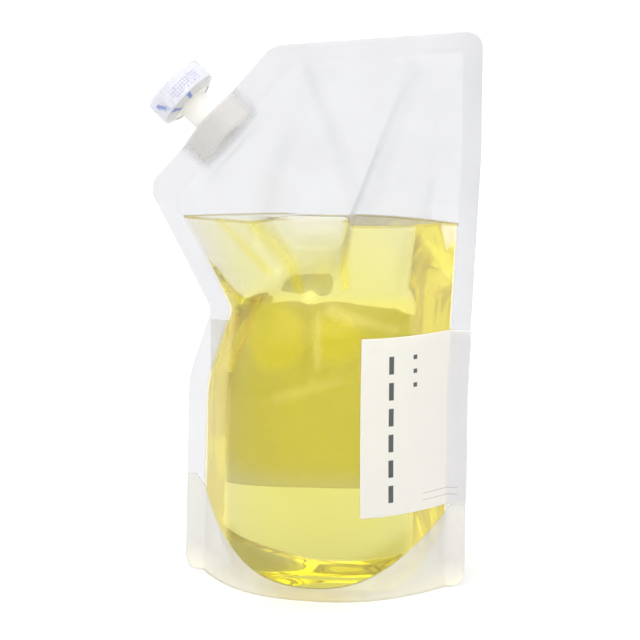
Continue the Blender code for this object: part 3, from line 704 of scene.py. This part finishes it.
def makeFilm():
    print("film")
    columns, rows = film["columns"], film["rows"]
    inner = dict.fromkeys(("glow", "pale", "light", "dull", "line", "weld", "seal", "fold"), 0.0)
    inner.update(foot=0.35, wet=1.0)
    sheets = [
        gridSheet("front", columns, rows, frontWeb, lambda a, b: webMarks(a, b, True)),
        gridSheet("back", columns, rows, backWeb, lambda a, b: webMarks(1.0 - a, b, False)),
        gridSheet("gusset", columns, columns // 2, gussetPlace, lambda a, b: inner),
    ]
    mesh = joinSheets("pouch_skin", sheets, 0.0)
    skin = newPiece("pouch_skin", mesh, "pouch", "pouch_film", "pouch_film")
    thickened(skin, "wall", pouch["film"])
    mesh.materials.append(filmMaterial("filmOutside", *film["outside"], True))
    mesh.materials.append(filmMaterial("filmInside", *film["inside"], False))


cleaner = {
    "inset": 0.7,
    "gap": 0.3,
    "columns": 140,
    "rows": 160,
}


def acrossAt(a, x, z):
    share = z / topRoot(x)
    inset = cleaner["inset"]
    return mixed(between(leftRoot, share) + inset, between(rightRoot, share) - inset, a)


def rimPlace(a):
    x = acrossAt(a, 0.0, 20.0)
    for step in range(4):
        x = acrossAt(a, x, rimHeight(x) + cleaner["gap"])
    return x, rimHeight(x) + cleaner["gap"]


def cleanerFaces(x, z):
    near = offsetDepth(frontDepth, x, z, -cleaner["gap"])
    far = offsetDepth(backDepth, x, z, -cleaner["gap"])
    return near, max(far, 0.1 - near)


def cleanerSide(front):
    def place(a, b):
        rimX, rimZ = rimPlace(a)
        z = mixed(rimZ, pouch["level"], b)
        x = acrossAt(a, rimX, z)
        x = acrossAt(a, x, z)
        near, far = cleanerFaces(x, z)
        return x, -near if front else far, z

    return place


def cleanerBottom(a, b):
    x, z = rimPlace(a)
    near, far = cleanerFaces(x, z)
    spread = 2.0 * b - 1.0
    return x, spread * (near if spread < 0 else far), gussetHeight(x, abs(spread)) + cleaner["gap"]


def cleanerTop(a, b):
    x, y, z = cleanerSide(True)(a, 1.0)
    near, far = cleanerFaces(x, z)
    return x, mixed(-near, far, b), z


def makeCleaner():
    print("cleaner")
    columns, rows = cleaner["columns"], cleaner["rows"]
    sheets = [
        gridSheet("front", columns, rows, cleanerSide(True)),
        gridSheet("back", columns, rows, cleanerSide(False)),
        gridSheet("bottom", columns, 60, cleanerBottom),
        gridSheet("top", columns, 24, cleanerTop),
    ]
    mesh = joinSheets("cleaner", sheets, 0.04)
    newPiece("cleaner", mesh, "pouch", "cleaner_liquid", "cleaner_liquid")
    mesh.set_sharp_from_angle(angle=math.radians(48))
    made, tree, shader = principled("cleaner", (1.0, 1.0, 1.0), 0.0)
    shader.inputs["Transmission Weight"].default_value = 1.0
    shader.inputs["IOR"].default_value = 1.34
    tint = addNode(tree, "ShaderNodeVolumeAbsorption", {"Color": (0.965, 0.94, 0.03), "Density": 25.0})
    tree.links.new(tint.outputs["Volume"], tree.nodes["Material Output"].inputs["Volume"])
    mesh.materials.append(made)


label = {
    "bottom": 44.0,
    "top": 134.0,
    "front": 29.5,
    "back": -58.0,
    "gap": 0.3,
    "paper": 0.16,
    "colour": (0.88, 0.84, 0.78),
    "pale": (0.91, 0.88, 0.83),
    "fleck": (0.84, 0.80, 0.73),
    # the glued inside, seen through the cleaner, painted brighter and yellower than the front as painted light
    "glueAndPaintedLight": (0.95, 0.93, 0.78),
    "glueFleckAndPaintedLight": (0.93, 0.90, 0.72),
    "ink": (0.055, 0.07, 0.085),
    "columns": 240,
    "rows": 100,
}


def labelPlace(a, b):
    # a runs from the front edge round the right seal to the back edge
    z = mixed(label["bottom"], label["top"], b)
    share = z / topRoot(75.0)
    lift = pouch["film"] + label["gap"] + label["paper"]
    edge, root = between(rightEdge, share), between(rightRoot, share)
    turn = math.pi * (lift + 0.02)
    lengths = [root - label["front"], edge - root, turn, edge - root, root - label["back"]]
    at = a * sum(lengths)
    part = 0
    while part < 4 and at > lengths[part]:
        at -= lengths[part]
        part += 1
    if part == 0:
        x = label["front"] + at
        return x, -offsetDepth(frontDepth, x, z, lift), z
    if part == 1:
        return root + at, -lift - 0.02, z
    if part == 2:
        angle = math.pi * at / turn
        return edge + (lift + 0.02) * math.sin(angle), -(lift + 0.02) * math.cos(angle), z
    if part == 3:
        return edge - at, lift + 0.02, z
    x = root - at
    return x, offsetDepth(backDepth, x, z, lift), z


def bandOf(tree, value, low, high, soft=0.0006):
    first = ramped(tree, value, low - soft, low + soft)
    return sums(tree, "MULTIPLY", first, ramped(tree, value, high - soft, high + soft, 1.0, 0.0))


def repeats(tree, value, start, pitch):
    return sums(tree, "FRACT", sums(tree, "DIVIDE", sums(tree, "SUBTRACT", value, start), pitch))


def labelInk(tree):
    # plain dashes, dots and lines on the front, in decimetres from the label's corner
    where = addNode(tree, "ShaderNodeUVMap", uv_map="sheet").outputs[0]
    split = addNode(tree, "ShaderNodeSeparateXYZ", {0: where})
    across, up = split.outputs[0], split.outputs[1]
    dashes = sums(tree, "MULTIPLY", bandOf(tree, repeats(tree, up, 0.055, 0.13), 0.1, 0.78, 0.01),
                  bandOf(tree, up, 0.06, 0.83))
    dashes = sums(tree, "MULTIPLY", dashes, bandOf(tree, across, 0.125, 0.146))
    dots = sums(tree, "MULTIPLY", bandOf(tree, repeats(tree, up, 0.62, 0.07), 0.3, 0.62, 0.02),
                bandOf(tree, up, 0.64, 0.83))
    dots = sums(tree, "MULTIPLY", dots, bandOf(tree, across, 0.228, 0.243))
    lines = sums(tree, "ADD", bandOf(tree, up, 0.085, 0.089), bandOf(tree, up, 0.05, 0.054))
    lines = sums(tree, "MULTIPLY", lines, bandOf(tree, across, 0.27, 0.42))
    ink = sums(tree, "MAXIMUM", dashes, dots)
    return sums(tree, "MAXIMUM", ink, sums(tree, "MULTIPLY", lines, 0.4), True)


def layLabel(mesh):
    # the front's sheet coordinates in decimetres; the rest of the sheet lies off the print
    bm = bmesh.new()
    bm.from_mesh(mesh)
    laid = bm.loops.layers.uv.new("sheet")
    for face in bm.faces:
        for loop in face.loops:
            place = loop.vert.co / mm
            across = (place.x - label["front"]) / 100.0 if place.y < 0.0 else 2.0
            loop[laid].uv = (across, (place.z - label["bottom"]) / 100.0)
    bm.to_mesh(mesh)
    bm.free()


def makeLabel():
    print("label")
    mesh = gridSheet("wrapped_label", label["columns"], label["rows"], labelPlace)
    layLabel(mesh)
    sheet = newPiece("wrapped_label", mesh, "pouch", "label", "label")
    thickened(sheet, "paper", label["paper"])
    for name, colour, pale, fleck, printed in (
        ("labelPaper", label["colour"], label["pale"], label["fleck"], True),
        ("labelGlueAndPaintedLight", label["glueAndPaintedLight"], label["glueAndPaintedLight"], label["glueFleckAndPaintedLight"], False),
    ):
        made, tree, shader = principled(name, colour, 0.55)
        # thin paper that lets some light through
        shader.inputs["Subsurface Weight"].default_value = 1.0
        shader.inputs["Subsurface Radius"].default_value = (1.0, 1.0, 0.9)
        shader.inputs["Subsurface Scale"].default_value = 0.0008
        grain, normal = grained(tree, 900.0, 0.15, 0.00008)
        cloud = ramped(tree, noiseField(tree, 30.0, 2.0), 0.3, 0.7, 0.0, 0.5)
        paper = blendedColour(tree, cloud, colour, pale)
        paper = blendedColour(tree, ramped(tree, grain, 0.35, 0.65, 0.0, 0.25), paper, fleck)
        if printed:
            paper = blendedColour(tree, labelInk(tree), paper, label["ink"])
        tree.links.new(paper, shader.inputs["Base Color"])
        tree.links.new(normal, shader.inputs["Normal"])
        tree.links.new(ramped(tree, grain, 0.3, 0.7, 0.5, 0.62), shader.inputs["Roughness"])
        mesh.materials.append(made)


# the spout, the cap and what sits on it, along the spout's own axis
spout = {
    "bore": 6.8,
    "stem": 7.8,
    "boatDepth": 13.5,
    "rib": 0.4,
    "flange": 11.0,
    "threadRoot": 9.8,
    "threadStart": 14.0,
    "pitch": 4.0,
    "top": 22.6,
    "colour": (0.82, 0.81, 0.78),
    "warm": (0.80, 0.77, 0.70),
}

cap = {
    "radius": 16.3,
    "bottom": 13.9,
    "top": 25.2,
    "ceiling": 24.1,
    "ringBore": 11.0,
    "ringWall": 12.5,
    "ribs": 26,
    "ribDepth": 0.35,
    "colour": (0.81, 0.81, 0.82),
    "other": (0.78, 0.78, 0.80),
}

liner = {
    "radius": 10.6,
    "gap": 0.3,
    "thickness": 0.9,
    "colour": (0.92, 0.92, 0.91),
    "other": (0.88, 0.88, 0.87),
}

sleeve = {
    "side": 16.6,
    "top": 25.5,
    "film": 0.2,
    "hem": 4.6,
    "bottom": 13.6,
    "mouth": 11.4,
    "mouthHeight": 11.3,
    "colour": (0.76, 0.76, 0.83),
    "coneColour": (0.77, 0.77, 0.75),
    "ink": (0.22, 0.29, 0.66),
    "paleInk": (0.44, 0.44, 0.66),
}

spoutTurn = Matrix.Translation((spoutFoot[0], 0.0, spoutFoot[1]))
spoutTurn @= Matrix.Rotation(-pouch["cornerAngle"], 4, "Y")


def softened(points, sharp=(), step=0.5):
    # (radius, height, rounding) corners as a fine line of points
    soft = [p for arc in roundedArcs(points, sharp, 5) for p in arc]
    fine = []
    for a, b in zip(soft, soft[1:] + soft[:1]):
        count = max(1, round((b - a).length / step))
        fine += [a.lerp(b, k / count) for k in range(count)]
    return fine


def axisLine(points, step):
    # from the axis out and back to it, without the way along it
    line = softened(points, (0, len(points) - 1), step)
    while line[-1].x < 0.001 and line[-1].y > points[-1][1] + 0.01:
        line.pop()
    return line


def turnedSheet(name, line, columns, bend):
    # a line of (radius, height) points taken round the spout's axis; bend gives x and y
    rows = len(line) - 1

    def place(a, b):
        i = min(rows - 1, int(b * rows + 0.001))
        radius, height = line[i].lerp(line[i + 1], b * rows - i)
        return spoutTurn @ Vector((*bend(radius, height, 2.0 * math.pi * a), height))

    return joinSheets(name, [gridSheet(name, columns, rows, place)], 0.01)


def roundAt(radius, height, angle):
    return radius * math.cos(angle), radius * math.sin(angle)


def threadRidge(height, angle, phase):
    # a right-handed ridge, 0 in the groove and 1 on the crest
    turns = (height - spout["threadStart"]) / spout["pitch"] - angle / (2.0 * math.pi) + phase
    away = abs(turns - math.floor(turns) - 0.5)
    return smoothStep(1.0 - away / 0.28) * smoothStep(height - 14.6) * smoothStep((22.2 - height) / 0.8)


def spoutBend(radius, height, angle):
    if height < 0.0 and radius > spout["stem"] + 0.1:
        # the weld fitting is a pointed oval
        long = pouch["boatHalfLength"] + radius - pouch["boatHalfWidth"]
        return long * math.cos(angle), radius * math.sin(angle) * abs(math.sin(angle))
    if radius > spout["threadRoot"] - 0.05 and height > spout["threadStart"]:
        radius += 0.75 * threadRidge(height, angle, 0.0)
    return roundAt(radius, height, angle)


def plasticMaterial(name, colour, other, roughness, scale):
    made, tree, shader = principled(name, colour, roughness)
    cloud = ramped(tree, noiseField(tree, 90.0, 3.0), 0.3, 0.7)
    tree.links.new(blendedColour(tree, cloud, colour, other), shader.inputs["Base Color"])
    tree.links.new(ramped(tree, cloud, 0.0, 1.0, roughness - 0.04, roughness + 0.06), shader.inputs["Roughness"])
    tree.links.new(grained(tree, scale, 0.15, 0.0001)[1], shader.inputs["Normal"])
    return made


def makeSpout():
    print("spout")
    stem, top, flange = spout["stem"], spout["top"], spout["flange"]
    half = pouch["boatHalfWidth"]
    pitch = (spout["boatDepth"] - 0.5) / 4
    boat = []
    for k in range(4):
        low = -spout["boatDepth"] + k * pitch + 0.5 * (pitch - 1.5)
        boat += [(half, low, 0.15), (half + spout["rib"], low + 0.2, 0.1)]
        boat += [(half + spout["rib"], low + 1.3, 0.1), (half, low + 1.5, 0.15)]
    line = softened([
        (spout["bore"], top, 0.4),
        (spout["bore"], -spout["boatDepth"], 0.2),
        (half, -spout["boatDepth"], 0.25),
        *boat,
        (half, -0.5, 0.25),
        (stem, -0.5, 0.0),
        (stem, 11.2, 0.2),
        (flange, 11.6, 0.15),
        (flange, 12.3, 0.15),
        (stem, 12.5, 0.1),
        (stem, 12.9, 0.1),
        (spout["threadRoot"], 13.8, 0.3),
        (spout["threadRoot"], top, 0.6),
    ], sharp=(20,), step=0.45)
    columns = 144
    mesh = turnedSheet("weld_spout", [*line, line[0]], columns, spoutBend)
    newPiece("weld_spout", mesh, "pouch", "spout", "spout")
    mesh.set_sharp_from_angle(angle=math.radians(40))
    mesh.materials.append(plasticMaterial("spoutPlastic", spout["colour"], spout["warm"], 0.4, 260.0))


def capBend(radius, height, angle):
    if radius > cap["radius"] - 1.0:
        wave = 0.5 - 0.5 * math.cos(cap["ribs"] * angle)
        radius -= cap["ribDepth"] * wave * smoothStep(radius - cap["radius"] + 1.0)
    elif abs(radius - cap["ringBore"]) < 0.05:
        radius -= 0.7 * threadRidge(height, angle, 0.5)
    return roundAt(radius, height, angle)


def makeCap():
    print("cap")
    radius, bottom, top, ceiling = cap["radius"], cap["bottom"], cap["top"], cap["ceiling"]
    line = axisLine([
        (0.0, top, 0.0),
        (radius, top, 0.9),
        (radius, bottom, 0.35),
        (radius - 1.3, bottom, 0.3),
        (radius - 1.3, ceiling - 0.3, 0.5),
        (cap["ringWall"], ceiling - 0.3, 0.4),
        (cap["ringWall"], bottom + 0.7, 0.3),
        (cap["ringBore"], bottom + 0.7, 0.3),
        (cap["ringBore"], ceiling, 0.2),
        (0.0, ceiling, 0.0),
    ], 0.5)
    mesh = turnedSheet("screw_cap", line, 208, capBend)
    newPiece("screw_cap", mesh, "cap", "cap", "cap")
    mesh.set_sharp_from_angle(angle=math.radians(50))
    mesh.materials.append(plasticMaterial("capPlastic", cap["colour"], cap["other"], 0.36, 320.0))


def makeLiner():
    print("liner")
    radius, low = liner["radius"], spout["top"] + liner["gap"]
    top = low + liner["thickness"]
    line = axisLine([(0.0, top, 0.0), (radius, top, 0.2), (radius, low, 0.2), (0.0, low, 0.0)], 0.8)
    mesh = turnedSheet("seal_liner", line, 96, roundAt)
    newPiece("seal_liner", mesh, "liner", "cap_liner", "cap_liner")
    mesh.materials.append(plasticMaterial("linerFoam", liner["colour"], liner["other"], 0.7, 900.0))


def sleeveBend(radius, height, angle):
    # shrunk tight on the cap, lightly pleated where it draws in
    drawn = smoothStep((sleeve["bottom"] - height) / 2.0)
    outer = smoothStep((radius - 16.0) / 0.5)
    radius += 0.12 * drawn * math.sin(18.0 * angle) + 0.05 * math.sin(cap["ribs"] * angle) * outer
    return roundAt(radius - 0.03, height, angle)


def sleeveInk(tree):
    # plain rows of dashes, a dot and a patch, by height and by angle round the cap
    values = {
        "Vector": addNode(tree, "ShaderNodeTexCoord").outputs["Object"],
        "Location": tuple(spoutTurn.to_translation() * mm),
        "Rotation": (0.0, -pouch["cornerAngle"], 0.0),
    }
    local = addNode(tree, "ShaderNodeMapping", values, vector_type="TEXTURE").outputs[0]
    split = addNode(tree, "ShaderNodeSeparateXYZ", {0: local})
    turn = sums(tree, "DEGREES", sums(tree, "ARCTAN2", split.outputs[1], split.outputs[0]))
    height = sums(tree, "MULTIPLY", split.outputs[2], 1000.0)
    inRow = bandOf(tree, repeats(tree, height, 15.6, 1.45), 0.25, 0.7, 0.08)
    inRow = sums(tree, "MULTIPLY", inRow, bandOf(tree, repeats(tree, turn, 0.0, 5.5), 0.15, 0.8, 0.08))
    dash = ramped(tree, noiseField(tree, 700.0, 0.0), 0.4, 0.5)
    area = bandOf(tree, height, 15.8, 21.6, 0.1)
    area = sums(tree, "MULTIPLY", area, bandOf(tree, turn, -92.0, -26.0, 2.0))
    small = sums(tree, "MULTIPLY", sums(tree, "MULTIPLY", inRow, dash), area)
    spot = bandOf(tree, height, 11.6, 13.6, 0.3)
    spot = sums(tree, "MULTIPLY", spot, bandOf(tree, turn, -73.0, -64.0, 1.5))
    # a slanting patch at the front's far side
    low = sleeve["mouthHeight"]
    slant = sums(tree, "ADD", turn, sums(tree, "MULTIPLY", sums(tree, "SUBTRACT", height, low), 2.4))
    patch = bandOf(tree, slant, -112.0, -101.0, 2.0)
    patch = sums(tree, "MULTIPLY", patch, bandOf(tree, height, low, 21.5, 0.3))
    patch = sums(tree, "MULTIPLY", patch, ramped(tree, noiseField(tree, 420.0, 1.0), 0.42, 0.56))
    return small, sums(tree, "MAXIMUM", spot, patch), ramped(tree, height, 13.2, 14.4, 1.0, 0.0)


def makeSleeve():
    print("sleeve")
    side, top, wall = sleeve["side"], sleeve["top"], sleeve["film"]
    line = softened([
        (side - sleeve["hem"], top + wall, 0.08),
        (side + wall, top + wall, 1.0),
        (side + wall, sleeve["bottom"], 0.8),
        (sleeve["mouth"] + wall, sleeve["mouthHeight"], 0.06),
        (sleeve["mouth"], sleeve["mouthHeight"], 0.06),
        (side, sleeve["bottom"] + 0.05, 0.7),
        (side, top, 0.85),
        (side - sleeve["hem"], top, 0.08),
    ], step=0.5)
    mesh = turnedSheet("shrink_sleeve", [*line, line[0]], 234, sleeveBend)
    newPiece("shrink_sleeve", mesh, "cap", "cap_sleeve", "cap_sleeve")
    made, tree, shader = principled("sleeveFilm", sleeve["colour"], 0.22)
    small, strong, drawn = sleeveInk(tree)
    colour = blendedColour(tree, drawn, sleeve["colour"], sleeve["coneColour"])
    colour = blendedColour(tree, small, colour, sleeve["paleInk"])
    tree.links.new(blendedColour(tree, strong, colour, sleeve["ink"]), shader.inputs["Base Color"])
    mottle = ramped(tree, noiseField(tree, 150.0), 0.3, 0.7, 0.2, 0.3)
    cover = blended(tree, small, blended(tree, drawn, mottle, 0.7), 0.6)
    tree.links.new(blended(tree, strong, cover, 0.75), shader.inputs["Alpha"])
    pleats = noiseField(tree, 160.0, 3.0, (1.0, 1.0, 0.4))
    tree.links.new(bumped(tree, pleats, 0.25, 0.0004), shader.inputs["Normal"])
    mesh.materials.append(made)


# the photograph's camera, in metres, about 1 m away on the right of the front
view = {
    "lens": 112.5,
    "turn": math.radians(13.0),
    "height": 0.313,
    "aim": (0.0, 0.0, 0.136),
}


def makeCamera():
    lens = bpy.data.cameras.new("camera")
    lens.lens = view["lens"]
    lens.sensor_width = 36.0
    lens.clip_start = 0.05
    lens.clip_end = 200.0
    camera = bpy.data.objects.new("camera", lens)
    bpy.context.scene.collection.objects.link(camera)
    camera.location = (math.sin(view["turn"]), -math.cos(view["turn"]), view["height"])
    aim = Vector(view["aim"]) - camera.location
    camera.rotation_euler = aim.to_track_quat("-Z", "Y").to_euler()
    bpy.context.scene.camera = camera


def makeFloor():
    bm = bmesh.new()
    bmesh.ops.create_grid(bm, x_segments=2, y_segments=2, size=40.0)
    mesh = bpy.data.meshes.new("floor")
    bm.to_mesh(mesh)
    bm.free()
    floor = bpy.data.objects.new("floor", mesh)
    bpy.context.scene.collection.objects.link(floor)
    made, tree, shader = principled("paleFloor", (0.85, 0.85, 0.85), 0.9)
    cloud = noiseField(tree, 3.0)
    tree.links.new(ramped(tree, cloud, 0.3, 0.7, 0.85, 0.95), shader.inputs["Roughness"])
    mesh.materials.append(made)


def addLamp(name, place, aim, size, watts):
    data = bpy.data.lights.new(name, "AREA")
    data.shape = "RECTANGLE"
    data.size, data.size_y = size
    data.energy = watts
    lamp = bpy.data.objects.new(name, data)
    bpy.context.scene.collection.objects.link(lamp)
    lamp.location = place
    lamp.rotation_euler = (Vector(aim) - Vector(place)).to_track_quat("-Z", "Y").to_euler()


def makeLight():
    world = bpy.data.worlds.new("world")
    bpy.context.scene.world = world
    world.use_nodes = True
    tree = world.node_tree
    way = addNode(tree, "ShaderNodeTexCoord").outputs["Generated"]
    split = addNode(tree, "ShaderNodeSeparateXYZ", {0: way})
    # brighter above the front, dimmer at the front's horizon
    front = ramped(tree, split.outputs[1], -0.1, -0.5)
    high = ramped(tree, split.outputs[2], 0.12, 0.4, 0.65, 1.75)
    bright = blended(tree, front, 1.0, high)
    shade = addNode(tree, "ShaderNodeVectorMath", {0: (0.985, 0.99, 1.0), "Scale": bright}, operation="SCALE")
    tree.links.new(shade.outputs[0], tree.nodes["Background"].inputs["Color"])
    tree.nodes["Background"].inputs["Strength"].default_value = 1.08
    addLamp("softTop", (0.1, -0.3, 1.6), (0.0, 0.0, 0.14), (0.8, 0.8), 4.0)
    scene = bpy.context.scene
    scene.view_settings.view_transform = "Standard"
    scene.cycles.max_bounces = 28
    scene.cycles.diffuse_bounces = 8
    scene.cycles.glossy_bounces = 20
    scene.cycles.transmission_bounces = 24
    scene.cycles.transparent_max_bounces = 32


makeCamera()
makeFloor()
makeLight()
makeFilm()
makeCleaner()
makeLabel()
makeSpout()
makeCap()
makeLiner()
makeSleeve()
